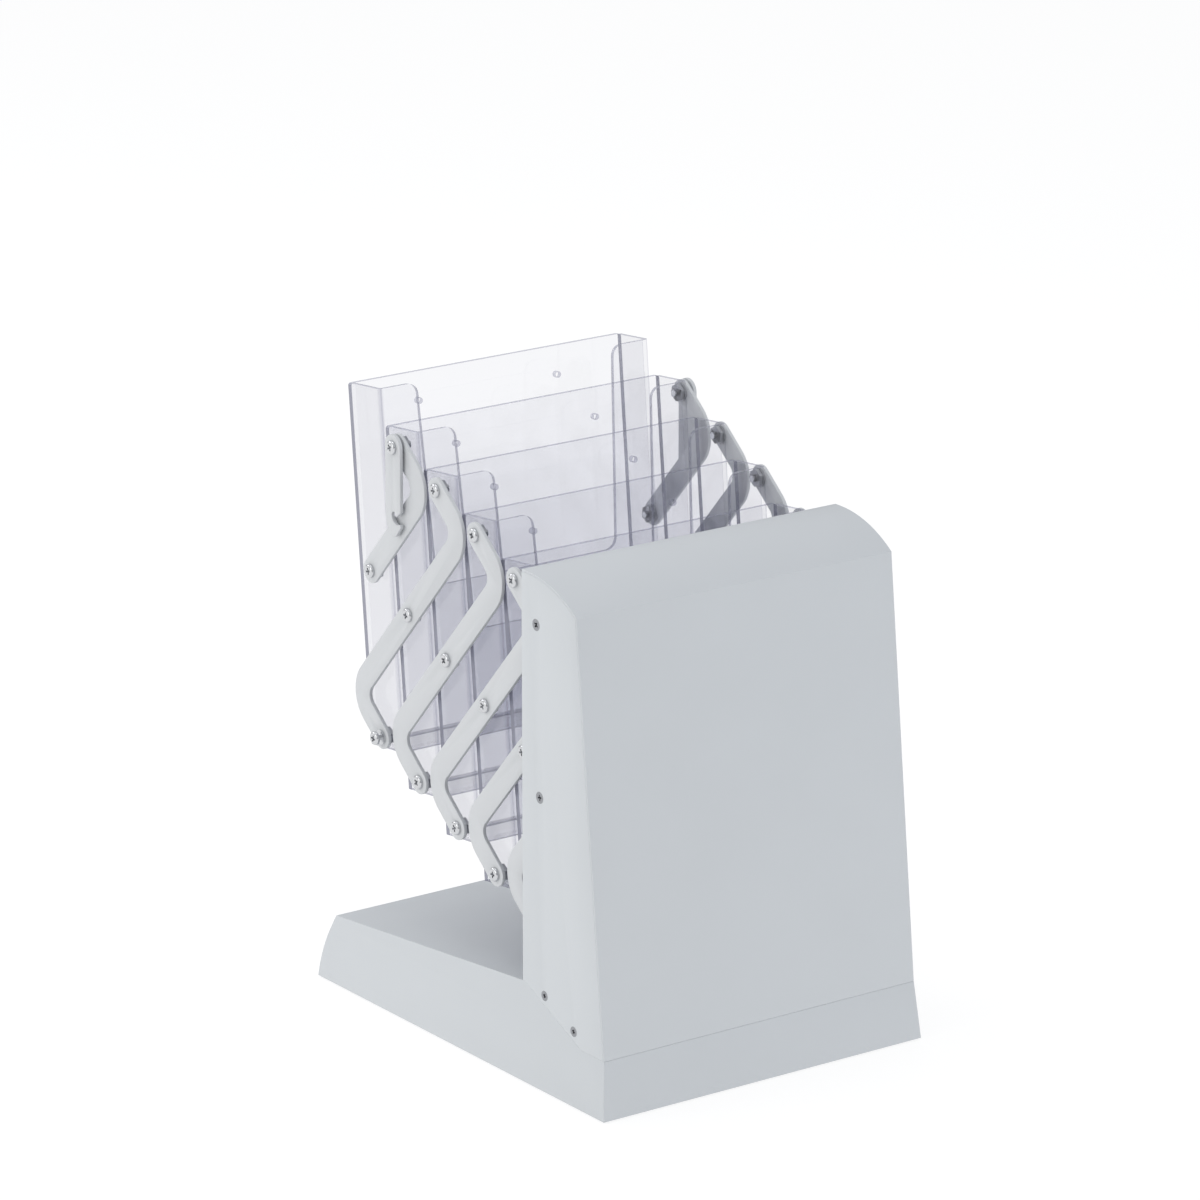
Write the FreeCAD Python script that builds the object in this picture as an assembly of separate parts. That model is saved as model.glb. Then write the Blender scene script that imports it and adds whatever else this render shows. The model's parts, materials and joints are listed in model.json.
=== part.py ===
import FreeCAD, Part
import math, os

os.makedirs("parts", exist_ok=True)
V = FreeCAD.Vector

# ---------------------------------------------------------------- driving sizes (mm, degrees)
# pockets
POCKET_W = 222.0          # outside width of one pocket
POCKET_H = 249.0          # height of one pocket
POCKET_D = 37.5           # outside depth, back plate to front lip
BACK_T = 4.0              # back plate
BACK_R = 2.0              # its top corners
WALL_T = 3.0              # bent front and sides
FLOOR_T = 3.0             # floor plate
CORNER_R = 4.5            # outside radius of the two bent corners
FLANGE_TOP = 30.5         # front flange width at the top
FLANGE_BOT = 37.0         # front flange width at the foot of the cut-out
CUT_DEPTH = 140.0         # depth of the front cut-out
CUT_R_TOP = 8.0
CUT_R_BOT = 9.0
SIGN_HOLE_D = 4.4         # two small holes near the top of the back plate
SIGN_HOLE_X = 57.0
SIGN_HOLE_U = 20.4
N_POCKETS = 5

# linkage
LEAN = 5.5                # backward lean of every pocket
POCKET_GAP = 4.9          # between neighbouring pockets when folded
PIVOT_FORE = 14.5         # pivots behind the front of the pocket
PIVOT_U = 9.9             # upper pivot below the top edge
PIVOT_FOOT = 10.1         # lower pivot above the foot
BAR_SHORT = 14.5          # a bar's pivots are this much closer together than a pocket's
CASE_PIVOT_Y = -94.18     # upper pivot in the case
FOOT_CLEAR = 26.3         # front pocket above the crest of the base
BAR_W = 17.0
BAR_T = 2.5
BEND_R = 16.5             # centre line radius of the bar elbows
ELBOW_IN = 13.2           # elbow corner before the end pivot
ELBOW_N = 36.5            # elbow corner sideways
SCREW_D = 5.0
HOLE_CLEAR = 0.05         # radial running clearance
SIDE_GAP = 0.1            # running gap beside a bar
HEAD_RIM = 2.3            # screw head beyond the shank, all round
HEAD_H = 2.3
HEAD_AIR = 3.0            # between the screw heads and the pivot plates
HEAD_ROUND = 1.9          # rounding of a pan head
RECESS_SIZE = 4.6         # cross recess of a pan head
RECESS_DEPTH = 1.7
NUT_T = 4.0               # flanged nut between pocket and bar, flange included
NUT_WALL = 3.0            # from the thread to the flats
FLANGE_RIM = 0.9          # flange beyond the flats
FLANGE_T = 1.2
SCREW_SHORT = 0.3         # screw end below the inner face of the pocket wall
WASHER_RIM = 2.5          # washers, bushes and collars beyond the shank, all round
WASHER_T = 1.0
CASE_NUT_WALL = 1.5
CASE_NUT_T = 4.0
STUD_PROUD = 1.0          # stud end beyond its nut

# latch
LATCH_W = 17.5
LATCH_T = 2.5
LATCH_GAP = 1.6           # bush between the bar and the latch
SEAT_DOWN = 50.1          # stud seat in the hook, below the latch pivot when the latch hangs
SEAT_FORE = 4.8           # and in front of it
NECK_STEP = 0.5           # neck of the latch stud inside its shank, all round
NECK_PLAY = 0.5           # stud head clear of the latch, and collar short of it
SLOT_PLAY = 0.4           # hook slot beyond the neck, all round

# case and base
SHEET = 1.5
FLARE = 3.5               # skirts beyond the case at the floor, each side
SKIRT_Z = 1.0             # skirt stands clear of the floor
BASE_FRONT = -168.0
REAR_ROOM = 15.84         # base behind the rear pocket
SEAM_Z = 41.0
SEAM_FRONT = -163.7
SEAM_REAR = -138.0
CREST_Y = -74.0
CREST_Z = 70.0
TAIL_RUN = 18.3           # rounded tail
TAIL_Z = 49.3
TAIL_BULGE = 3.6
CASE_REAR = -72.5
TOP_ROOM = 34.97          # top of the case above its upper pivot
ARC_R = 93.0
ARC_START_Y = -78.0
COVER_ROOM = 9.16         # top of the front cover before the elbow of the front bars
EDGE_FLANGE = 12.0        # inward flange of a case side, under the cover
LIP_H = 6.0               # turned-down rear edge of the cover
PIVOT_PLATE_T = 3.0       # plate inside each case side that carries the two case pivots
PIVOT_PLATE_EDGE = 11.0   # plate beyond the pivots
PIVOT_PLATE_R = 4.0
STUD_RIM = 3.5            # collar of a case pivot stud beyond its shank, all round
UPPER_SCREW = (5.6, 1.2)       # plate screws from the upper and the lower pivot, (y, z)
LOWER_SCREW = (13.1, -1.2)
PLATE_SCREW_D = 4.0
PLATE_HEAD_RIM = 2.0
ANGLE_LEG = 15.0          # angles between case side and base
ANGLE_SPAN = (0.02, 0.95)      # their ends, as shares of the ramp
ANGLE_SCREWS = (0.17, 0.68)    # and their screws
ANGLE_SCREW_UP = 6.0      # and above it
ANGLE_HEAD_RIM = 1.5
ANGLE_NUT_WALL = 1.5
ANGLE_NUT_T = 3.2
BOTTOM_T = 4.0            # bottom plate
FOOT_H = 4.0
FOOT_D = 22.0
FOOT_STEM_D = 6.0
FOOT_BARB = 1.6
FOOT_IN_X = 24.0          # feet from the sides, the front and the rear
FOOT_IN_FRONT = 28.0
FOOT_IN_REAR = 30.0

# ---------------------------------------------------------------- helpers
def P2(y, z):
    return V(0, y, z)

def seg(a, b):
    return Part.LineSegment(a, b).toShape()

def arc3(a, m, b):
    return Part.Arc(a, m, b).toShape()

def prism(edges, x0, x1):
    """face in the plane x = 0 drawn by edges, pushed from x0 to x1"""
    f = Part.Face(Part.Wire(edges))
    f.translate(V(x0, 0, 0))
    return f.extrude(V(x1 - x0, 0, 0))

def poly_edges(pts):
    out = []
    for i in range(len(pts)):
        out.append(seg(pts[i], pts[(i + 1) % len(pts)]))
    return out

def round_poly(pts, plane):
    """closed outline with a radius at each corner; pts = [(a, b, r)], plane maps (a, b) to a point"""
    n = len(pts)
    starts, ends, mids = [], [], []
    for i in range(n):
        a0, b0, _ = pts[i - 1]
        a, b, r = pts[i]
        a1, b1, _ = pts[(i + 1) % n]
        p = V(a, b, 0)
        d0 = (V(a0, b0, 0) - p).normalize()
        d1 = (V(a1, b1, 0) - p).normalize()
        if r <= 0:
            starts.append(p)
            ends.append(p)
            mids.append(None)
            continue
        half = d0.getAngle(d1) / 2.0
        t = r / math.tan(half)
        c = p + (d0 + d1).normalize() * (r / math.sin(half))
        m = c + (p - c).normalize() * r
        starts.append(p + d0 * t)
        ends.append(p + d1 * t)
        mids.append(m)
    edges = []
    for i in range(n):
        if mids[i] is not None:
            edges.append(arc3(plane(starts[i].x, starts[i].y), plane(mids[i].x, mids[i].y),
                              plane(ends[i].x, ends[i].y)))
        j = (i + 1) % n
        a, b = ends[i], starts[j]
        if (a - b).Length > 1e-6:
            edges.append(seg(plane(a.x, a.y), plane(b.x, b.y)))
    return edges

def cyl(y, z, d, x0, x1):
    lo, hi = min(x0, x1), max(x0, x1)
    return Part.makeCylinder(d / 2.0, hi - lo, V(lo, y, z), V(1, 0, 0))

def cone(y, z, d0, d1, x0, x1):
    """cone along X, diameter d0 at x0 and d1 at x1"""
    if x1 > x0:
        return Part.makeCone(d0 / 2.0, d1 / 2.0, x1 - x0, V(x0, y, z), V(1, 0, 0))
    return Part.makeCone(d1 / 2.0, d0 / 2.0, x0 - x1, V(x1, y, z), V(1, 0, 0))

def hexagon(y, z, af, x0, x1, turn=0.0):
    r = af / math.sqrt(3.0)
    pts = []
    for i in range(6):
        a = math.radians(60 * i + turn)
        pts.append(V(0, y + r * math.cos(a), z + r * math.sin(a)))
    lo, hi = min(x0, x1), max(x0, x1)
    return prism(poly_edges(pts), lo, hi)

def cross_recess(y, z, x_face, depth, size, turn=0.0):
    """cross shaped driver recess cut into a head whose outer face is at x_face, looking along +X"""
    w = size * 0.26
    a = Part.makeBox(depth, size, w, V(x_face, y - size / 2.0, z - w / 2.0))
    b = Part.makeBox(depth, w, size, V(x_face, y - w / 2.0, z - size / 2.0))
    c = cone(y, z, size * 0.62, size * 0.2, x_face, x_face + depth)
    s = a.fuse([b, c])
    s.rotate(V(x_face, y, z), V(1, 0, 0), turn)
    return s

def mirror(s):
    return s.mirror(V(0, 0, 0), V(1, 0, 0))

def both(s):
    return [s, mirror(s)]

def save(name, shapes):
    if not isinstance(shapes, (list, tuple)):
        shapes = [shapes]
    solids = []
    for s in shapes:
        solids += s.Solids
    out = solids[0] if len(solids) == 1 else Part.makeCompound(solids)
    out.exportStep("parts/%s.step" % name)

# ---------------------------------------------------------------- linkage geometry
PIVOT_Q = POCKET_D - PIVOT_FORE                     # pivots in front of the back of the pocket
PITCH = (POCKET_H - PIVOT_U - PIVOT_FOOT) / 2.0     # distance between the three pivots of a side
BAR_R = PITCH - BAR_SHORT                           # pivot to pivot distance on a bar
ELBOW_A = BAR_R - ELBOW_IN
lean = math.radians(LEAN)
beta = math.asin((POCKET_D + POCKET_GAP) / BAR_R) - lean    # a folded bar from upright
UP = (math.sin(lean), math.cos(lean))               # up a pocket side, (y, z)
FR = (-math.cos(lean), math.sin(lean))              # out of a pocket front
BU = (-math.sin(beta), math.cos(beta))              # along a bar, towards its upper pivot
BN = (-math.cos(beta), -math.sin(beta))             # across a bar, towards the front
STEP = (BAR_R * BU[0] - PITCH * UP[0], BAR_R * BU[1] - PITCH * UP[1])
CASE_PIVOT_Z = CREST_Z + FOOT_CLEAR + (POCKET_H - PIVOT_U) * UP[1] + PIVOT_Q * FR[1] + STEP[1]
CASE_TOP = CASE_PIVOT_Z + TOP_ROOM

def pivot(k, row):
    """row 0, 1, 2 = upper, middle and lower pivot of pocket k; k = N_POCKETS + 1 is the case"""
    m = N_POCKETS + 1 - k
    y = CASE_PIVOT_Y - m * STEP[0] - row * PITCH * UP[0]
    z = CASE_PIVOT_Z - m * STEP[1] - row * PITCH * UP[1]
    return y, z

X_WALL = POCKET_W / 2.0
X_IN = X_WALL - WALL_T                   # inner face of the pocket wall
X_TIP = X_IN + SCREW_SHORT
X_NUT = X_WALL + NUT_T                   # outer face of the flanged nut
X_B0 = X_NUT + SIDE_GAP                  # bar, inner face
X_B1 = X_B0 + BAR_T                      # bar, outer face
X_HEAD = X_B1 + SIDE_GAP                 # under a screw head
X_L0 = X_HEAD + LATCH_GAP                # latch, inner face
X_L1 = X_L0 + LATCH_T                    # latch, outer face
X_PLATE = X_HEAD + HEAD_H + HEAD_AIR     # inner face of a pivot plate
X_CIN = X_PLATE + PIVOT_PLATE_T
X_CASE = X_CIN + SHEET
CASE_W = 2 * X_CASE
BASE_W = CASE_W + 2 * FLARE

HEAD_D = SCREW_D + 2 * HEAD_RIM
NUT_AF = SCREW_D + 2 * NUT_WALL
FLANGE_D = NUT_AF + 2 * FLANGE_RIM
WASHER_D = SCREW_D + 2 * WASHER_RIM
CASE_NUT_AF = SCREW_D + 2 * CASE_NUT_WALL
STUD_COLLAR_D = SCREW_D + 2 * STUD_RIM
NECK_D = SCREW_D - 2 * NECK_STEP
BAR_HOLE_D = SCREW_D + 2 * HOLE_CLEAR

ARC_END_Y = CASE_PIVOT_Y + ELBOW_IN * math.sin(beta) - ELBOW_N * math.cos(beta) - COVER_ROOM
BASE_REAR = pivot(1, 0)[0] + PIVOT_U * UP[0] - PIVOT_Q * FR[0] + REAR_ROOM
TAIL_Y = BASE_REAR - TAIL_RUN

# ---------------------------------------------------------------- base
def side_profile(off):
    """side outline of the base drawn inwards by off, and open below when off > 0"""
    zb = SKIRT_Z if off == 0 else SKIRT_Z - 20.0
    fy, fz = SEAM_FRONT - BASE_FRONT, SEAM_Z - SKIRT_Z
    fl = math.hypot(fy, fz)
    def front_at(z):
        return BASE_FRONT + (z - SKIRT_Z) * fy / fz + off * fl / fz
    d1 = math.atan2(CREST_Z - SEAM_Z, CREST_Y - SEAM_REAR)
    d2 = math.atan2(TAIL_Z - CREST_Z, TAIL_Y - CREST_Y)
    def ramp(y):
        return SEAM_Z + (y - SEAM_REAR) * math.tan(d1) - off / math.cos(d1)
    def top(y):
        return CREST_Z + (y - CREST_Y) * math.tan(d2) - off / math.cos(d2)
    za = SEAM_Z - off
    ya = front_at(za)
    yb = SEAM_REAR + (za - (SEAM_Z - off / math.cos(d1))) / math.tan(d1)
    a1, b1 = math.tan(d1), ramp(0.0)
    a2, b2 = math.tan(d2), top(0.0)
    yc = (b2 - b1) / (a1 - a2)
    # rear curve through three points
    p, q = (TAIL_Y, TAIL_Z), (BASE_REAR, SKIRT_Z)
    mx, mz = (p[0] + q[0]) / 2.0, (p[1] + q[1]) / 2.0
    cx, cz = q[0] - p[0], q[1] - p[1]
    ln = math.hypot(cx, cz)
    nx, nz = -cz / ln, cx / ln
    if nx < 0:
        nx, nz = -nx, -nz
    r = (ln * ln / 4.0 + TAIL_BULGE ** 2) / (2.0 * TAIL_BULGE)
    ox, oz = mx + nx * (TAIL_BULGE - r), mz + nz * (TAIL_BULGE - r)
    rr = r - off
    def on_arc(ang):
        return P2(ox + rr * math.cos(ang), oz + rr * math.sin(ang))
    # start of the curve: where the top line meets the circle
    A = 1 + a2 * a2
    B = 2 * (a2 * (b2 - oz) - ox)
    C = ox * ox + (b2 - oz) ** 2 - rr * rr
    yt = (-B + math.sqrt(B * B - 4 * A * C)) / (2 * A)
    t0 = math.atan2(a2 * yt + b2 - oz, yt - ox)
    t1 = math.asin((zb - oz) / rr)
    pts = [P2(front_at(zb), zb), P2(ya, za), P2(yb, za), P2(yc, ramp(yc)), on_arc(t0)]
    edges = [seg(pts[i], pts[i + 1]) for i in range(4)]
    edges.append(arc3(on_arc(t0), on_arc((t0 + t1) / 2.0), on_arc(t1)))
    edges.append(seg(on_arc(t1), pts[0]))
    return edges

def front_profile(off):
    """front outline that gives the side skirts their flare"""
    zb = SKIRT_Z if off == 0 else SKIRT_Z - 20.0
    run = (BASE_W - CASE_W) / 2.0
    h = SEAM_Z - SKIRT_Z
    k = math.hypot(run, h) / h
    def half(z):
        return BASE_W / 2.0 - (z - SKIRT_Z) * run / h - off * k
    xt = CASE_W / 2.0 - off
    zk = SEAM_Z - (half(SEAM_Z) - xt) * -h / run if off else SEAM_Z
    zt = CREST_Z + 30.0
    pts = [V(-half(zb), 0, zb), V(-xt, 0, zk), V(-xt, 0, zt), V(xt, 0, zt), V(xt, 0, zk), V(half(zb), 0, zb)]
    f = Part.Face(Part.Wire(poly_edges(pts)))
    f.translate(V(0, BASE_FRONT - 10, 0))
    return f.extrude(V(0, BASE_REAR - BASE_FRONT + 20, 0))

base_outer = prism(side_profile(0), -BASE_W, BASE_W).common(front_profile(0))
base_inner = prism(side_profile(SHEET), -BASE_W, BASE_W).common(front_profile(SHEET))
base_shell = base_outer.cut(base_inner)
save("base_shell", base_shell)

slab = Part.makeBox(2 * BASE_W, 2 * (BASE_REAR - BASE_FRONT), BOTTOM_T,
                    V(-BASE_W, -(BASE_REAR - BASE_FRONT), FOOT_H))
plate = base_inner.common(slab)
foot_x = BASE_W / 2.0 - FOOT_IN_X
foot_y = [BASE_FRONT + FOOT_IN_FRONT, BASE_REAR - FOOT_IN_REAR]
feet = []
for fx in (-foot_x, foot_x):
    for fy in foot_y:
        plate = plate.cut(Part.makeCylinder(FOOT_STEM_D / 2.0, BOTTOM_T + 2, V(fx, fy, FOOT_H - 1)))
        pad = Part.makeCylinder(FOOT_D / 2.0, FOOT_H, V(fx, fy, 0))
        pad = pad.makeChamfer(0.8, [e for e in pad.Edges if e.BoundBox.ZMax < 0.01 and e.Closed])
        stem = Part.makeCylinder(FOOT_STEM_D / 2.0, BOTTOM_T, V(fx, fy, FOOT_H))
        barb = Part.makeCone(FOOT_STEM_D / 2.0 + FOOT_BARB, FOOT_STEM_D / 2.0 - FOOT_BARB / 2.0, FOOT_H,
                             V(fx, fy, FOOT_H + BOTTOM_T))
        feet.append(pad.fuse([stem, barb]).removeSplitter())
save("base_bottom_plate", plate)
save("base_feet", feet)

# ---------------------------------------------------------------- case
arc_cz = CASE_TOP - ARC_R
fcorner_z = arc_cz + math.sqrt(ARC_R ** 2 - (ARC_END_Y - ARC_START_Y) ** 2)
fdir = V(0, ARC_END_Y - SEAM_FRONT, fcorner_z - SEAM_Z).normalize()
fnrm = V(0, fdir.z, -fdir.y)                # points back into the case

def front_line(off, z):
    """y on the front plane drawn back by off, at height z"""
    base = V(0, SEAM_FRONT, SEAM_Z) + fnrm * off
    return base.y + (z - base.z) * fdir.y / fdir.z

def top_corner(off):
    """where the front plane meets the curved top, both drawn in by off"""
    r = ARC_R - off
    base = V(0, SEAM_FRONT, SEAM_Z) + fnrm * off
    d = base - V(0, ARC_START_Y, arc_cz)
    b = d.dot(fdir)
    c = d.dot(d) - r * r
    t = -b + math.sqrt(b * b - c)
    return base + fdir * t

def arc_mid(off, p):
    r = ARC_R - off
    a1 = math.atan2(p.z - arc_cz, p.y - ARC_START_Y)
    am = (a1 + math.pi / 2.0) / 2.0
    return P2(ARC_START_Y + r * math.cos(am), arc_cz + r * math.sin(am))

def skin(o0, o1, z_low, y_rear):
    """sheet between two offsets, front plane and curved top"""
    c0, c1 = top_corner(o0), top_corner(o1)
    t0, t1 = CASE_TOP - o0, CASE_TOP - o1
    e = [seg(P2(front_line(o0, z_low), z_low), c0),
         arc3(c0, arc_mid(o0, c0), P2(ARC_START_Y, t0)),
         seg(P2(ARC_START_Y, t0), P2(y_rear, t0)),
         seg(P2(y_rear, t0), P2(y_rear, t1)),
         seg(P2(y_rear, t1), P2(ARC_START_Y, t1)),
         arc3(P2(ARC_START_Y, t1), arc_mid(o1, c1), c1),
         seg(c1, P2(front_line(o1, z_low), z_low)),
         seg(P2(front_line(o1, z_low), z_low), P2(front_line(o0, z_low), z_low))]
    return e

cover = prism(skin(0.0, SHEET, SEAM_Z, CASE_REAR), -X_CASE, X_CASE)
lip = Part.makeBox(2 * X_CIN, SHEET, LIP_H, V(-X_CIN, CASE_REAR - SHEET, CASE_TOP - LIP_H))
cover = cover.fuse(lip).removeSplitter()
save("case_front_cover", cover)

d_ramp = math.atan2(CREST_Z - SEAM_Z, CREST_Y - SEAM_REAR)
d_top = math.atan2(TAIL_Z - CREST_Z, TAIL_Y - CREST_Y)
rear_z = CREST_Z + (CASE_REAR - CREST_Y) * math.tan(d_top)

def side_outline():
    c = top_corner(SHEET)
    low_front = P2(front_line(SHEET, SEAM_Z), SEAM_Z)
    return [seg(low_front, c), arc3(c, arc_mid(SHEET, c), P2(ARC_START_Y, CASE_TOP - SHEET)),
            seg(P2(ARC_START_Y, CASE_TOP - SHEET), P2(CASE_REAR, CASE_TOP - SHEET)),
            seg(P2(CASE_REAR, CASE_TOP - SHEET), P2(CASE_REAR, rear_z)),
            seg(P2(CASE_REAR, rear_z), P2(CREST_Y, CREST_Z)),
            seg(P2(CREST_Y, CREST_Z), P2(SEAM_REAR, SEAM_Z)),
            seg(P2(SEAM_REAR, SEAM_Z), low_front)]

side = prism(side_outline(), -X_CASE, -X_CIN)
flange = prism(skin(SHEET, 2 * SHEET, SEAM_Z, CASE_REAR - 2 * SHEET), -X_CIN, -X_CIN + EDGE_FLANGE)
side = side.fuse(flange).removeSplitter()

# angles between the base and the case sides, and their screws
def ramp_pt(share, height):
    """point on the base ramp under the case side, and height above it"""
    return P2(SEAM_REAR + share * (CREST_Y - SEAM_REAR) - height * math.sin(d_ramp),
              SEAM_Z + share * (CREST_Z - SEAM_Z) + height * math.cos(d_ramp))

def ramp_strip(height, x0, x1):
    low, high = ANGLE_SPAN
    return prism(poly_edges([ramp_pt(low, 0), ramp_pt(high, 0), ramp_pt(high, height), ramp_pt(low, height)]),
                 x0, x1)

angle = ramp_strip(ANGLE_LEG, -X_CIN, -X_CIN + SHEET).fuse(ramp_strip(SHEET, -X_CIN, -X_CIN + ANGLE_LEG))
angle = angle.removeSplitter()

def countersunk(y, z, d, rim, x_end):
    """left hand side screw through the case side, its head flush and rim wider all round"""
    head = cone(y, z, d + 2 * rim, d, -X_CASE, -X_CASE + rim)
    return head.fuse(cyl(y, z, d, -X_CASE + rim / 2.0, x_end)).removeSplitter()

angle_screws, case_nuts = [], []
for share in ANGLE_SCREWS:
    p = ramp_pt(share, ANGLE_SCREW_UP)
    x_nut = -X_CIN + SHEET
    screw = countersunk(p.y, p.z, PLATE_SCREW_D, ANGLE_HEAD_RIM, x_nut + ANGLE_NUT_T + STUD_PROUD)
    side = side.cut(screw)
    angle = angle.cut(screw)
    angle_screws += both(screw.cut(cross_recess(p.y, p.z, -X_CASE, 1.2, 3.4, 20)))
    nut = hexagon(p.y, p.z, PLATE_SCREW_D + 2 * ANGLE_NUT_WALL, x_nut, x_nut + ANGLE_NUT_T)
    case_nuts += both(nut.cut(screw))

# pivot plates, the screws that hold them and the studs they carry
piv_pts = [pivot(N_POCKETS + 1, 0), pivot(N_POCKETS + 1, 1)]
screw_pts = [(p[0] + off[0], p[1] + off[1]) for p, off in zip(piv_pts, (UPPER_SCREW, LOWER_SCREW))]
edge = PIVOT_PLATE_EDGE
plate_top = piv_pts[0][1] + edge
plate_low = min(piv_pts[1][1], screw_pts[1][1]) - edge
plate_rear = max(screw_pts[0][0], screw_pts[1][0]) + edge
plate_out = [(piv_pts[0][0] - edge, plate_top, PIVOT_PLATE_R), (plate_rear, plate_top, PIVOT_PLATE_R),
             (plate_rear, plate_low, PIVOT_PLATE_R), (piv_pts[1][0] - edge, plate_low, PIVOT_PLATE_R)]
pivot_plate = prism(round_poly(plate_out, P2), -X_CIN, -X_PLATE)
plate_screws = []
for (y, z), turn in zip(screw_pts, (35, 80)):
    screw = countersunk(y, z, PLATE_SCREW_D, PLATE_HEAD_RIM, -X_PLATE)
    side = side.cut(screw)
    pivot_plate = pivot_plate.cut(screw)
    plate_screws += both(screw.cut(cross_recess(y, z, -X_CASE, 1.4, 4.0, turn)))
studs = []
for y, z in piv_pts:
    pivot_plate = pivot_plate.cut(cyl(y, z, SCREW_D, -X_CASE, 0))
    x_nut = -X_B0 + SIDE_GAP + WASHER_T
    collar = cyl(y, z, STUD_COLLAR_D, -X_PLATE, -X_HEAD)
    studs += both(collar.fuse(cyl(y, z, SCREW_D, -X_CIN, x_nut + CASE_NUT_T + STUD_PROUD)).removeSplitter())
    washer = cyl(y, z, WASHER_D, x_nut - WASHER_T, x_nut)
    nut = washer.fuse(hexagon(y, z, CASE_NUT_AF, x_nut, x_nut + CASE_NUT_T)).removeSplitter()
    case_nuts += both(nut.cut(cyl(y, z, SCREW_D, -X_CASE, 0)))

save("case_side_left", side)
save("case_side_right", mirror(side))
save("case_base_angles", both(angle))
save("case_angle_screws", angle_screws)
save("case_pivot_plates", both(pivot_plate))
save("case_plate_screws", plate_screws)
save("case_pivot_studs", studs)
save("case_nuts", case_nuts)

# ---------------------------------------------------------------- pockets
def place(s, k):
    """local pocket frame (top edge at z = 0, back face at y = 0, front towards -y) to the rack"""
    y, z = pivot(k, 0)
    s = s.copy()
    s.rotate(V(0, 0, 0), V(1, 0, 0), -LEAN)
    s.translate(V(0, y + UP[0] * PIVOT_U - FR[0] * PIVOT_Q, z + UP[1] * PIVOT_U - FR[1] * PIVOT_Q))
    return s

def xz(a, b):
    return V(a, 0, b)

def xy(a, b):
    return V(a, b, 0)

W2 = POCKET_W / 2.0

back_outline = [(-W2, -POCKET_H, 0), (-W2, 0, BACK_R), (W2, 0, BACK_R), (W2, -POCKET_H, 0)]
back_local = Part.Face(Part.Wire(round_poly(back_outline, xz))).extrude(V(0, -BACK_T, 0))
for sx in (-1, 1):
    back_local = back_local.cut(Part.makeCylinder(SIGN_HOLE_D / 2.0, BACK_T + 2,
                                V(sx * SIGN_HOLE_X, 1, -SIGN_HOLE_U), V(0, -1, 0)))

tray_face = Part.Face(Part.Wire(round_poly([
    (-W2, -BACK_T, 0), (-W2, -POCKET_D, CORNER_R), (W2, -POCKET_D, CORNER_R), (W2, -BACK_T, 0),
    (W2 - WALL_T, -BACK_T, 0), (W2 - WALL_T, -POCKET_D + WALL_T, CORNER_R - WALL_T),
    (-W2 + WALL_T, -POCKET_D + WALL_T, CORNER_R - WALL_T), (-W2 + WALL_T, -BACK_T, 0)], xy)))
tray_local = tray_face.extrude(V(0, 0, -POCKET_H))
xt, xb = W2 - FLANGE_TOP, W2 - FLANGE_BOT
cut_face = Part.Face(Part.Wire(round_poly([
    (-xt - 15, 5, 0), (-xt - 15, 0, 0), (-xt, 0, CUT_R_TOP), (-xb, -CUT_DEPTH, CUT_R_BOT),
    (xb, -CUT_DEPTH, CUT_R_BOT), (xt, 0, CUT_R_TOP), (xt + 15, 0, 0), (xt + 15, 5, 0)],
    lambda a, b: V(a, -POCKET_D - 5, b))))
tray_local = tray_local.cut(cut_face.extrude(V(0, 5 + WALL_T + 2, 0)))

in_x, in_y, in_r = W2 - WALL_T, -POCKET_D + WALL_T, CORNER_R - WALL_T
floor_outline = [(-in_x, -BACK_T, 0), (-in_x, in_y, in_r), (in_x, in_y, in_r), (in_x, -BACK_T, 0)]
floor_local = Part.Face(Part.Wire(round_poly(floor_outline, xy))).extrude(V(0, 0, FLOOR_T))
floor_local.translate(V(0, 0, -POCKET_H))

def rows(k):
    return (1, 2) if k == 1 else (0, 1, 2)

def pan_head(y, z, x, d, turn):
    """left hand side pan head standing on the plane x, with its cross recess"""
    head = cyl(y, z, d, -x - HEAD_H, -x)
    rim = [e for e in head.Edges if e.Closed and abs(e.BoundBox.XMin + x + HEAD_H) < 0.01]
    head = head.makeFillet(min(HEAD_H * 0.72, HEAD_ROUND), rim)
    return head, cross_recess(y, z, -x - HEAD_H, RECESS_DEPTH, RECESS_SIZE, turn)

def pan_screw(y, z, x_head, turn):
    head, recess = pan_head(y, z, x_head, HEAD_D, turn)
    return head.fuse(cyl(y, z, SCREW_D, -x_head - 0.3, -X_TIP)).removeSplitter().cut(recess)

def latch_stud(y, z):
    """shouldered stud: collar against the bar, thin neck where the hook goes, head"""
    x_collar = X_HEAD + LATCH_GAP - NECK_PLAY
    x_top = X_L1 + NECK_PLAY
    head, recess = pan_head(y, z, x_top, HEAD_D, 10)
    collar = cyl(y, z, WASHER_D, -x_collar, -X_HEAD)
    neck = cyl(y, z, NECK_D, -x_top - 0.3, -x_collar + 0.3)
    shank = cyl(y, z, SCREW_D, -X_HEAD - 0.3, -X_TIP)
    return head.fuse([collar, neck, shank]).removeSplitter().cut(recess)

def flanged_nut(y, z):
    """hexagon against the pocket wall, round flange against the bar"""
    hexa = hexagon(y, z, NUT_AF, -X_NUT, -X_WALL, LEAN + 30)
    flange = cyl(y, z, FLANGE_D, -X_NUT, -X_NUT + FLANGE_T)
    return hexa.fuse(flange).removeSplitter().cut(cyl(y, z, SCREW_D, -X_CASE, 0))

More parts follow.
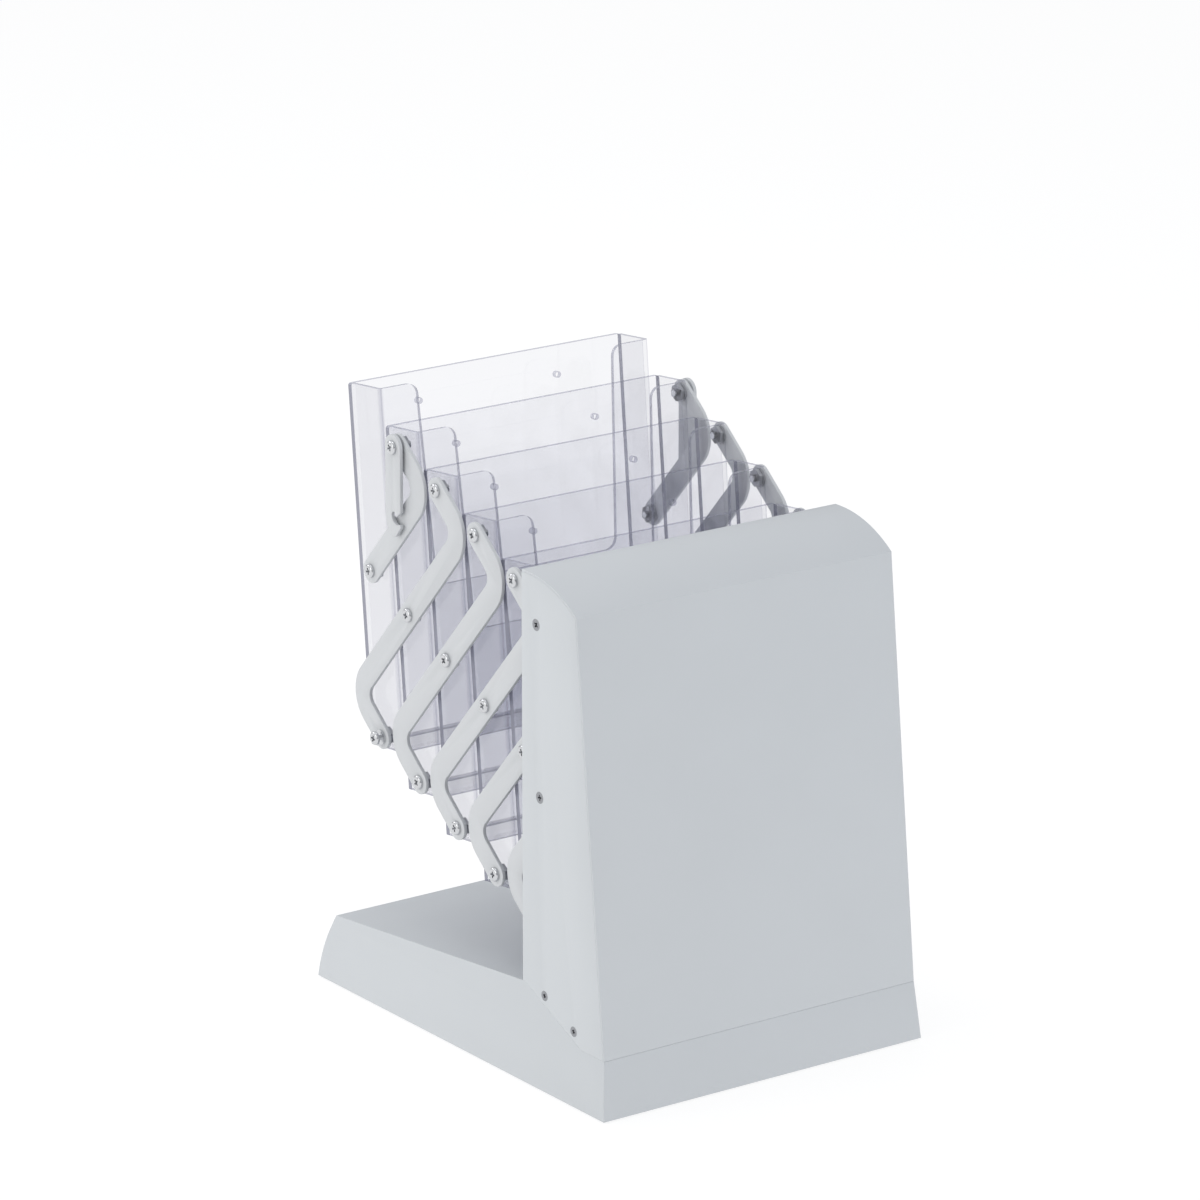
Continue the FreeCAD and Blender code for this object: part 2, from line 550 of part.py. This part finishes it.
for k in range(1, N_POCKETS + 1):
    tray = place(tray_local, k)
    screws, nuts = [], []
    for row in rows(k):
        y, z = pivot(k, row)
        tray = tray.cut(cyl(y, z, SCREW_D, -X_WALL - 1, X_WALL + 1))
        nuts += both(flanged_nut(y, z))
        if k == 1 and row == 2:
            continue
        x_head = X_L1 + SIDE_GAP if (k == 2 and row == 0) else X_HEAD
        screws += both(pan_screw(y, z, x_head, 15 + 37 * row + 23 * k))
    save("pocket_%d_back" % k, place(back_local, k))
    save("pocket_%d_tray" % k, tray)
    save("pocket_%d_floor" % k, place(floor_local, k))
    save("pocket_%d_screws" % k, screws)
    save("pocket_%d_nuts" % k, nuts)

save("latch_studs", both(latch_stud(*pivot(1, 2))))

# ---------------------------------------------------------------- bars
def strip_edges(pts, r, w):
    """outline of a bent flat bar of width w along the centre line pts, rounded ends; local (a, n)"""
    h = w / 2.0
    P = [V(a, b, 0) for a, b in pts]
    D = [(P[i + 1] - P[i]).normalize() for i in range(len(P) - 1)]
    N = [V(-d.y, d.x, 0) for d in D]
    left, right = [], []               # runs of points: ('L', p) or ('A', mid, p)
    left.append(("L", P[0] + N[0] * h))
    right.append(("L", P[0] - N[0] * h))
    for i in range(1, len(P) - 1):
        cr = D[i - 1].cross(D[i]).z
        s = 1.0 if cr > 0 else -1.0
        ang = D[i - 1].getAngle(D[i])
        t = r * math.tan(ang / 2.0)
        C = P[i] - D[i - 1] * t + N[i - 1] * (s * r)
        v0, v1 = N[i - 1] * -s, N[i] * -s
        vm = (v0 + v1).normalize()
        for run, sg in ((left, 1), (right, -1)):
            rr = r - s * sg * h
            run.append(("L", C + v0 * rr))
            run.append(("A", C + vm * rr, C + v1 * rr))
    left.append(("L", P[-1] + N[-1] * h))
    right.append(("L", P[-1] - N[-1] * h))
    edges = []
    def run_edges(run):
        cur = run[0][1]
        for it in run[1:]:
            if it[0] == "L":
                edges.append(("L", cur, it[1]))
                cur = it[1]
            else:
                edges.append(("A", cur, it[1], it[2]))
                cur = it[2]
    run_edges(left)
    edges.append(("A", P[-1] + N[-1] * h, P[-1] + D[-1] * h, P[-1] - N[-1] * h))
    run_edges(right)
    edges.append(("A", P[0] - N[0] * h, P[0] - D[0] * h, P[0] + N[0] * h))
    return edges

def bar(centre, pts, holes):
    cy, cz = centre
    def m(p):
        return P2(cy + BU[0] * p.x + BN[0] * p.y, cz + BU[1] * p.x + BN[1] * p.y)
    es = []
    for e in strip_edges(pts, BEND_R, BAR_W):
        if e[0] == "L":
            es.append(seg(m(e[1]), m(e[2])))
        else:
            es.append(arc3(m(e[1]), m(e[2]), m(e[3])))
    face = Part.Face(Part.Wire(Part.__sortEdges__(es)))
    face.translate(V(-X_B1, 0, 0))
    s = face.extrude(V(BAR_T, 0, 0))
    for along in holes:
        p = m(V(along, 0, 0))
        s = s.cut(cyl(p.y, p.z, BAR_HOLE_D, -X_B1 - 1, -X_B0 + 1))
    return s

upper_half = [(BAR_R, 0), (ELBOW_A, ELBOW_N)]
lower_half = [(-ELBOW_A, -ELBOW_N), (-BAR_R, 0)]
for k in range(1, N_POCKETS):
    whole = bar(pivot(k + 1, 1), upper_half + lower_half, (BAR_R, 0, -BAR_R))
    save("bar_%d_left" % k, whole)
    save("bar_%d_right" % k, mirror(whole))
rear = bar(pivot(1, 1), upper_half + [(0, 0)], (BAR_R, 0))
save("rear_half_bar_left", rear)
save("rear_half_bar_right", mirror(rear))
casebar = bar(pivot(N_POCKETS + 1, 1), [(0, 0)] + lower_half, (0, -BAR_R))
save("case_half_bar_left", casebar)
save("case_half_bar_right", mirror(casebar))

# ---------------------------------------------------------------- latches, hanging straight down
ly, lz = pivot(2, 0)

def at_pivot(fore, up):
    """point on the latch, measured forwards and up from its pivot"""
    return P2(ly - fore, lz + up)

def at_seat(fore, up):
    """point on the hook, measured from the stud seat"""
    return at_pivot(SEAT_FORE + fore, up - SEAT_DOWN)

h = LATCH_W / 2.0
tooth_top = at_pivot(h, 7.1 - SEAT_DOWN)
heel = at_pivot(-h, 0.1 - SEAT_DOWN)
r_slot = NECK_D / 2.0 + SLOT_PLAY
lf, lu = -4.0, 3.7                        # centre of the closed end of the slot, from the seat
outline = [
    arc3(at_pivot(-h, 0), at_pivot(0, h), at_pivot(h, 0)),
    seg(at_pivot(h, 0), tooth_top),
    seg(tooth_top, at_seat(-1.4, 2.5)),
    seg(at_seat(-1.4, 2.5), at_seat(lf + r_slot, lu)),
    arc3(at_seat(lf + r_slot, lu), at_seat(lf, lu + r_slot), at_seat(lf - r_slot, lu)),
    arc3(at_seat(lf - r_slot, lu), at_seat(-4.3, -0.7), at_seat(-1.4, -r_slot + 0.2)),
    arc3(at_seat(-1.4, -r_slot + 0.2), at_seat(0.4, -r_slot), at_seat(2.2, -1.6)),
    arc3(at_seat(2.2, -1.6), at_seat(3.8, -2.2), at_seat(3.7, -3.9)),
    seg(at_seat(3.7, -3.9), at_seat(-0.6, -9.5)),
    arc3(at_seat(-0.6, -9.5), at_seat(-3.2, -11.2), at_seat(-6.3, -10.9)),
    arc3(at_seat(-6.3, -10.9), at_seat(-11.4, -6.5), heel),
    seg(heel, at_pivot(-h, 0)),
]
latch = prism(outline, -X_L1, -X_L0).cut(cyl(ly, lz, BAR_HOLE_D, -X_L1 - 1, -X_L0 + 1))
save("latch_left", latch)
save("latch_right", mirror(latch))
bush = cyl(ly, lz, WASHER_D, -X_L0 + SIDE_GAP, -X_HEAD).cut(cyl(ly, lz, SCREW_D, -X_L0, 0))
save("latch_bushes", both(bush))
print("case %.1f wide, base %.1f, top %.1f, case pivot %.2f" % (CASE_W, BASE_W, CASE_TOP, CASE_PIVOT_Z))
print("pitch %.2f, bar %.2f, bars %.2f deg, base rear %.2f" % (PITCH, BAR_R, math.degrees(beta), BASE_REAR))
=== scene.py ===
import bpy
import json
import math
from mathutils import Matrix, Vector

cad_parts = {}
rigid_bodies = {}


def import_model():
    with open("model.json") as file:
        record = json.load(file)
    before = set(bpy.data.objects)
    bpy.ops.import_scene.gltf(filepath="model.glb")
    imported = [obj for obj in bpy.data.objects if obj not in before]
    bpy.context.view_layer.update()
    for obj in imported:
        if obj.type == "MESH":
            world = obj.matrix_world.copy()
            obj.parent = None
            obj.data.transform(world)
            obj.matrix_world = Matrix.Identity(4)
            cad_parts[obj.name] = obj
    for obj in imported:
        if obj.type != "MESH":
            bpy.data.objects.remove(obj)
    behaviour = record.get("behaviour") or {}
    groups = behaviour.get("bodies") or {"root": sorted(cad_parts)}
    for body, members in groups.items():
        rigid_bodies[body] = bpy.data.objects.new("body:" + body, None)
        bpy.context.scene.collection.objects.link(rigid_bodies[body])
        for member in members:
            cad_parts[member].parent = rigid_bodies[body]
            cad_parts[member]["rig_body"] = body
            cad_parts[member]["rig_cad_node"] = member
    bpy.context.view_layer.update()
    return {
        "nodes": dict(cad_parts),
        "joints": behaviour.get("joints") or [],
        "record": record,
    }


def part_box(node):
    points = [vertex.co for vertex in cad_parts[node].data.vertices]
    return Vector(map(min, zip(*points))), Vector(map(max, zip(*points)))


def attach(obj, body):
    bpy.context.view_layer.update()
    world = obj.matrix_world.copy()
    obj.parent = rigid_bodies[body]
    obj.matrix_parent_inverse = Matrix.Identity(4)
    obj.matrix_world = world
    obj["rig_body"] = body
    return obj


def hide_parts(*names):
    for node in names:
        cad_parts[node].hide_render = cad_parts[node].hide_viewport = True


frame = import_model()
bodies = frame["record"]["behaviour"]["bodies"]
slots = {part["node"]: part["material_slot"] for part in frame["record"]["subparts"]}
body_of = {node: body for body, nodes in bodies.items() for node in nodes}

MM = 0.001

# the lean of the pockets, from the lower and the upper pivot on the side of pocket 4
pivot_places = {joint["name"]: Vector(joint["pos_m"]) for joint in frame["joints"]}
pivot_line = pivot_places["bars_2_swing"] - pivot_places["pocket_4_level"]
LEAN = math.atan2(pivot_line.y, pivot_line.z)
UP = Vector((0.0, math.sin(LEAN), math.cos(LEAN)))
FRONT = Vector((0.0, -math.cos(LEAN), math.sin(LEAN)))
WALL_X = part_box("pocket_1_tray")[1].x     # outer face of a pocket's side wall

# rounding of the sheet and bar edges
SHEET_ROUND = 0.45 * MM
BAR_ROUND = 0.35 * MM
WELD = 0.002 * MM                         # corners nearer than this are one corner
FLAT_ANGLE = math.radians(0.5)            # faces this level with each other are one face
SHARP_ANGLE = math.radians(30.0)          # an edge over this is rounded
SMOOTH_ANGLE = math.radians(35)           # an edge under this shades smooth

# heights of the surface textures
PEEL = 0.05 * MM
TURNING = 0.03 * MM
MOULDING = 0.04 * MM
SAWING = 0.02 * MM

# what acrylic lets through, for each surface that light passes; the side walls, sawn edges and
# bends are made darker here as painted shade
FACE_CLEAR = (0.958, 0.959, 0.968, 1.0)
# painted shade: the side walls see through darker than the faces
SIDE_SHADED_CLEAR = (0.925, 0.925, 0.935, 1.0)
EDGE_SHADED_CLEAR = (0.66, 0.66, 0.72, 1.0)      # sawn edges and bends, darker as painted shade
EDGE_PALE = (0.62, 0.63, 0.69, 1.0)       # what a sawn edge scatters
# painted shade: the dark look of sawn edges
EDGE_PAINTED_SHADE = (0.085, 0.09, 0.15, 1.0)
GLINT = (0.94, 0.94, 0.97, 1.0)
HEAD_ON = 0.04                            # share of light that glints, seen straight on
BEND_BAND = 8 * MM                        # bends and side walls lie this near the outside
FLANK_BAND = 1 * MM                       # the back plate's upright edges


# ------------------------------------------------------------------ shader maths
class Value:
    """A socket that can be reckoned with: a + b, 1 - a, a * 3 add the Math nodes."""

    def __init__(self, shader, socket):
        self.shader = shader
        self.socket = socket

    def _math(self, operation, *terms):
        settings = {"operation": operation}
        return self.shader.node("ShaderNodeMath", settings, dict(enumerate(terms)))

    def __add__(self, other):
        return self._math("ADD", self, other)

    def __radd__(self, other):
        return self._math("ADD", other, self)

    def __sub__(self, other):
        return self._math("SUBTRACT", self, other)

    def __rsub__(self, other):
        return self._math("SUBTRACT", other, self)

    def __mul__(self, other):
        return self._math("MULTIPLY", self, other)

    def __rmul__(self, other):
        return self._math("MULTIPLY", other, self)

    def __pow__(self, other):
        return self._math("POWER", self, other)

    def __gt__(self, other):
        return self._math("GREATER_THAN", self, other)

    def __lt__(self, other):
        return self._math("LESS_THAN", self, other)

    def size(self):
        return self._math("ABSOLUTE", self)

    def top(self, other):
        return self._math("MAXIMUM", self, other)

    def ramp(self, low, high):
        """0 below low, 1 above high, straight between"""
        return self.shader.node("ShaderNodeMapRange", {"clamp": True}, {
            "Value": self, "From Min": low, "From Max": high, "To Min": 0.0, "To Max": 1.0})


def shade(colour, share):
    """The colour made darker or lighter, with its alpha."""
    return [min(1.0, part * share) for part in colour] + [1.0]


class Shader:
    """A material and the nodes that make it."""

    def __init__(self, name):
        self.material = bpy.data.materials.new(name)
        self.material.use_nodes = True
        self.tree = self.material.node_tree
        self.tree.nodes.clear()
        self.output = self.tree.nodes.new("ShaderNodeOutputMaterial")

    def node(self, kind, settings, sockets, out=0):
        """a new node: its settings, the value or link of each socket, and which output is used"""
        made = self.tree.nodes.new(kind)
        for key, setting in settings.items():
            setattr(made, key, setting)
        for key, value in sockets.items():
            target = made.inputs[key]
            if isinstance(value, Value):
                self.tree.links.new(value.socket, target)
            else:
                target.default_value = value
        return Value(self, made.outputs[out])

    def place(self):
        return self.node("ShaderNodeTexCoord", {}, {}, "Object")

    def parts(self, vector):
        split = self.node("ShaderNodeSeparateXYZ", {}, {0: vector})
        outs = split.socket.node.outputs
        return [Value(self, outs[i]) for i in range(3)]

    def normal(self):
        return self.node("ShaderNodeNewGeometry", {}, {}, "True Normal")

    def noise(self, scale, detail=2.0, stretch=(1, 1, 1)):
        """cloudy pattern with scale cells in a metre"""
        spread = self.node("ShaderNodeVectorMath", {"operation": "MULTIPLY"}, {
            0: self.place(), 1: stretch})
        return self.node("ShaderNodeTexNoise", {}, {
            "Vector": spread, "Scale": scale, "Detail": detail})

    def mix(self, factor, a, b):
        """colour a, or b where factor is 1"""
        return self.node("ShaderNodeMix", {"data_type": "RGBA"}, {0: factor, 6: a, 7: b}, 2)

    def blend(self, factor, a, b):
        """surface a, or b where factor is 1"""
        return self.node("ShaderNodeMixShader", {}, {0: factor, 1: a, 2: b})

    def bump(self, height, distance, strength):
        return self.node("ShaderNodeBump", {}, {
            "Height": height, "Distance": distance, "Strength": strength})

    def see_through(self, colour):
        return self.node("ShaderNodeBsdfTransparent", {}, {"Color": colour})

    def finish(self, surface):
        self.tree.links.new(surface.socket, self.output.inputs["Surface"])
        return self.material


def powder_coat(name, colour, grain=1.0):
    """Satin powder coat on sheet steel: fine peel, slight cloudiness."""
    s = Shader(name)
    cloud = s.noise(14.0, 3.0)
    speck = s.noise(2600.0, 1.0)
    base = s.mix(cloud * 0.7 + speck * 0.3, shade(colour, 0.965), shade(colour, 1.03))
    peel = s.noise(900.0, 2.0)
    fine = s.noise(2400.0, 1.0)
    height = peel * 0.7 + fine * 0.3
    rough = 0.44 + (cloud - 0.5) * 0.10 + (fine - 0.5) * 0.08
    paint = s.node("ShaderNodeBsdfPrincipled", {}, {
        "Base Color": base, "Roughness": rough, "Normal": s.bump(height, PEEL * grain, 0.5),
        "IOR": 1.5, "Specular IOR Level": 0.42})
    return s.finish(paint)


def metal(name, colour, rough):
    """Plated steel with faint turning marks and patches."""
    s = Shader(name)
    patch = s.noise(260.0, 3.0)
    marks = s.noise(3500.0)
    base = s.mix(patch, shade(colour, 0.86), shade(colour, 1.0))
    plate = s.node("ShaderNodeBsdfPrincipled", {}, {
        "Base Color": base, "Metallic": 1.0, "Roughness": rough + (patch - 0.5) * 0.18,
        "Normal": s.bump(marks, TURNING, 0.5)})
    return s.finish(plate)


def plastic(name, colour, rough):
    """Moulded plastic or rubber with a fine dull texture."""
    s = Shader(name)
    patch = s.noise(90.0, 3.0)
    fine = s.noise(1800.0, 2.0)
    base = s.mix(patch, shade(colour, 0.8), shade(colour, 1.2))
    skin = s.node("ShaderNodeBsdfPrincipled", {}, {
        "Base Color": base, "Roughness": rough + (fine - 0.5) * 0.15,
        "Normal": s.bump(fine, MOULDING, 0.5)})
    return s.finish(skin)


def acrylic(name, kind):
    """Clear acrylic sheet: polished faces nearly clear, sawn edges and bends darker and cool,
    side walls a little darker; this darkening is painted shade.
    kind: back, tray or floor, which says where the edges of the sheet are."""
    s = Shader(name)
    x = s.parts(s.place())[0]
    nx, ny, nz = s.parts(s.normal())
    n_up = ny * UP.y + nz * UP.z
    n_front = ny * FRONT.y + nz * FRONT.z
    outer = x.size() > WALL_X - BEND_BAND
    streak = s.noise(30.0, 3.0, (1.0, 0.5, 0.25))
    fine = s.noise(700.0, 2.0)
    # the sawn edges are coloured darker as painted shade; body is how much of an edge is opaque
    if kind == "back":
        edge = n_front.size() < 0.6
        # painted shade: the back plate's upright edges are made dark and nearly opaque
        shaded_flank = (nx.size() > 0.6) * (x.size() > WALL_X - FLANK_BAND)
        edge_shade = shaded_flank * (0.95 - streak * 0.35)
        body = 0.22 + shaded_flank * 0.56
    elif kind == "floor":
        edge = n_up.size() < 0.6
        edge_shade = streak * 0.4
        body = 0.2 + streak * 0.2
    else:
        rim = (nx.size() > 0.35) * (1.0 - outer)
        edge = (n_up.size() > 0.5).top(rim)
        edge_shade = rim * (0.30 + streak * 0.5)
        body = 0.22 + streak * 0.3
    facing = s.node("ShaderNodeLayerWeight", {}, {"Blend": 0.5}, "Facing")
    outside = 1.0 - s.node("ShaderNodeNewGeometry", {}, {}, "Backfacing")
    shine = (HEAD_ON + (1.0 - HEAD_ON) * facing ** 5.0) * outside
    # painted shade: walls that face sideways see through darker
    side_wall_shade = nx.size().ramp(0.5, 1.0)
    clear = s.blend(side_wall_shade, s.see_through(FACE_CLEAR), s.see_through(SIDE_SHADED_CLEAR))
    gloss = s.node("ShaderNodeBsdfPrincipled", {}, {
        "Base Color": GLINT, "Metallic": 1.0, "Roughness": 0.03 + fine * 0.02})
    # painted shade: sawn edges and bends see through darker
    shaded_through = s.see_through(EDGE_SHADED_CLEAR)
    sawn = s.node("ShaderNodeBsdfPrincipled", {}, {
        "Base Color": s.mix(edge_shade, EDGE_PALE, EDGE_PAINTED_SHADE),
        "Roughness": 0.12 + fine * 0.10, "IOR": 1.49, "Normal": s.bump(fine, SAWING, 0.4)})
    surface = s.blend(edge, s.blend(shine, clear, gloss), s.blend(body, shaded_through, sawn))
    # painted shade: darker see-through bands along the tray's bends
    if kind == "tray":
        bend_shade = (nx.size() * n_front.size() * 2.0).ramp(0.55, 1.0) * outer
        surface = s.blend(bend_shade * (0.35 + streak * 0.5), surface, s.blend(shine, shaded_through, gloss))
    return s.finish(surface)


finishes = {
    "case_paint": powder_coat("case powder coat", (0.600, 0.625, 0.650)),
    "base_paint": powder_coat("base powder coat", (0.595, 0.62, 0.645)),
    "bar_paint": powder_coat("bar powder coat", (0.60, 0.615, 0.635), 0.6),
    "inner_steel": powder_coat("inner steel coat", (0.42, 0.43, 0.44)),
    "zinc_steel": metal("bright zinc", (0.66, 0.67, 0.69), 0.24),
    "nut_steel": metal("dull zinc", (0.50, 0.51, 0.53), 0.34),
    # painted shade: the flush case screws are darker to stand for the shade in their countersinks
    "sunk_screws_shaded": metal("zinc darkened for countersink shade", (0.34, 0.35, 0.37), 0.30),
    "dark_nylon": plastic("dark nylon", (0.055, 0.055, 0.06), 0.45),
    "foot_rubber": plastic("foot rubber", (0.03, 0.03, 0.03), 0.7),
}
sheet_finish = {
    "back": acrylic("acrylic back plate", "back"),
    "tray": acrylic("acrylic tray", "tray"),
    "floor": acrylic("acrylic floor plate", "floor"),
}


def finish_of(node):
    """The material of a CAD node."""
    if slots[node] == "clear_acrylic":
        return sheet_finish[node.split("_")[-1]]
    # the flush case screws get the zinc darkened as painted shade
    if node in ("case_plate_screws", "case_angle_screws"):
        return finishes["sunk_screws_shaded"]
    return finishes[slots[node]]


def paint(obj, material):
    """The material is the only one on obj."""
    obj.data.materials.clear()
    obj.data.materials.append(material)


# ------------------------------------------------------------------ pieces
def alone(obj):
    """Only obj is selected and active."""
    bpy.ops.object.select_all(action="DESELECT")
    obj.select_set(True)
    bpy.context.view_layer.objects.active = obj


def softened(node, name, width, segments):
    """A copy of a CAD node with its hard edges rounded; it stands for the node."""
    source = frame["nodes"][node]
    copy = source.copy()
    copy.data = source.data.copy()
    copy.name = name
    copy.parent = None
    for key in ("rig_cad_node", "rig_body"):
        if key in copy:
            del copy[key]
    bpy.context.scene.collection.objects.link(copy)
    copy.matrix_world = Matrix.Identity(4)
    alone(copy)
    bpy.ops.object.mode_set(mode="EDIT")
    bpy.ops.mesh.select_all(action="SELECT")
    bpy.ops.mesh.remove_doubles(threshold=WELD)
    bpy.ops.mesh.customdata_custom_splitnormals_clear()
    bpy.ops.mesh.dissolve_limited(angle_limit=FLAT_ANGLE)
    bpy.ops.object.mode_set(mode="OBJECT")
    bpy.ops.object.modifier_add(type="BEVEL")
    bevel = copy.modifiers[-1]
    bevel.width = width
    bevel.segments = segments
    bevel.limit_method = "ANGLE"
    bevel.angle_limit = SHARP_ANGLE
    bevel.harden_normals = False
    bevel.use_clamp_overlap = True
    bpy.ops.object.modifier_apply(modifier=bevel.name)
    bpy.ops.object.shade_smooth_by_angle(angle=SMOOTH_ANGLE)
    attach(copy, body_of[node])
    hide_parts(node)
    paint(copy, finish_of(node))


for node, obj in frame["nodes"].items():
    paint(obj, finish_of(node))

for node in ("case_front_cover", "case_side_left", "case_side_right", "base_shell"):
    softened(node, node + "_sheet", SHEET_ROUND, 3)
for node in slots:
    if slots[node] == "bar_paint":
        softened(node, node + "_steel", BAR_ROUND, 2)

# ------------------------------------------------------------------ floor, light and camera
FLOOR_SIZE = 40.0
SKY_DIM, SKY_BRIGHT = 0.16, 0.72          # at the horizon and overhead
SKY_LOW, SKY_HIGH = 0.02, 0.42            # where it starts and ends to brighten

bpy.ops.mesh.primitive_plane_add(size=FLOOR_SIZE, location=(0, 0, 0))
floor = bpy.context.active_object
floor.name = "studio_floor"
lit = Shader("studio floor")
white = lit.node("ShaderNodeBsdfDiffuse", {}, {"Color": (0.30, 0.30, 0.30, 1.0)})
glow = lit.node("ShaderNodeEmission", {}, {"Color": (1.0, 1.0, 1.0, 1.0), "Strength": 0.76})
paint(floor, lit.finish(lit.node("ShaderNodeAddShader", {}, {0: white, 1: glow})))

world = bpy.data.worlds.new("studio")
bpy.context.scene.world = world
world.use_nodes = True
sky = world.node_tree
direction = sky.nodes.new("ShaderNodeTexCoord")
split = sky.nodes.new("ShaderNodeSeparateXYZ")
brighten = sky.nodes.new("ShaderNodeMapRange")
background = sky.nodes["Background"]
brighten.inputs["From Min"].default_value = SKY_LOW
brighten.inputs["From Max"].default_value = SKY_HIGH
brighten.inputs["To Min"].default_value = SKY_DIM
brighten.inputs["To Max"].default_value = SKY_BRIGHT
sky.links.new(direction.outputs["Generated"], split.inputs[0])
sky.links.new(split.outputs["Z"], brighten.inputs["Value"])
sky.links.new(brighten.outputs["Result"], background.inputs["Strength"])
background.inputs["Color"].default_value = (0.97, 0.98, 1.0, 1.0)


def softbox(name, place, aim, side, power, colour=(1.0, 1.0, 1.0)):
    """A square area light at place, turned to aim."""
    light = bpy.data.lights.new(name, "AREA")
    light.shape = "RECTANGLE"
    light.size = side
    light.size_y = side
    light.energy = power
    light.color = colour
    obj = bpy.data.objects.new(name, light)
    bpy.context.scene.collection.objects.link(obj)
    obj.location = place
    obj.rotation_euler = (Vector(aim) - Vector(place)).to_track_quat("-Z", "Y").to_euler()


MIDDLE = (0, 0, 0.2)
softbox("left softbox", (-2.4, 0.2, 1.0), MIDDLE, 1.6, 12.5, (1.0, 1.0, 0.96))
softbox("front softbox", (1.3, -2.6, 1.1), MIDDLE, 1.4, 13.5, (0.90, 0.95, 1.0))
softbox("top softbox", (0.0, 0.3, 2.6), MIDDLE, 1.4, 8.0)
softbox("rear softbox", (-1.4, 2.3, 1.5), (0, 0, 0.1), 1.4, 16.0)

# the camera, from the origin: how far back, which way round, and its place across the view
DISTANCE = 4.4206
AZIMUTH, ELEVATION = math.radians(-35.71), math.radians(17.23)
AIM_RIGHT, AIM_UP = -0.0107, 0.2764
LENS_MM, SENSOR_MM = 195.5, 36.0
FAR_CLIP = 60.0

right = Vector((math.cos(AZIMUTH), math.sin(AZIMUTH), 0.0))
back = Vector((
    math.sin(AZIMUTH) * math.cos(ELEVATION),
    -math.cos(AZIMUTH) * math.cos(ELEVATION),
    math.sin(ELEVATION)))
up = back.cross(right)
camera_place = right * AIM_RIGHT + up * AIM_UP + back * DISTANCE
optics = bpy.data.cameras.new("studio camera")
optics.lens = LENS_MM
optics.sensor_width = SENSOR_MM
optics.clip_end = FAR_CLIP
camera = bpy.data.objects.new("studio camera", optics)
bpy.context.scene.collection.objects.link(camera)
turn = Matrix((right, up, back)).transposed().to_4x4()
camera.matrix_world = Matrix.Translation(camera_place) @ turn
bpy.context.scene.camera = camera

scene = bpy.context.scene
scene.view_settings.view_transform = "Standard"
scene.cycles.transparent_max_bounces = 64
scene.cycles.max_bounces = 16
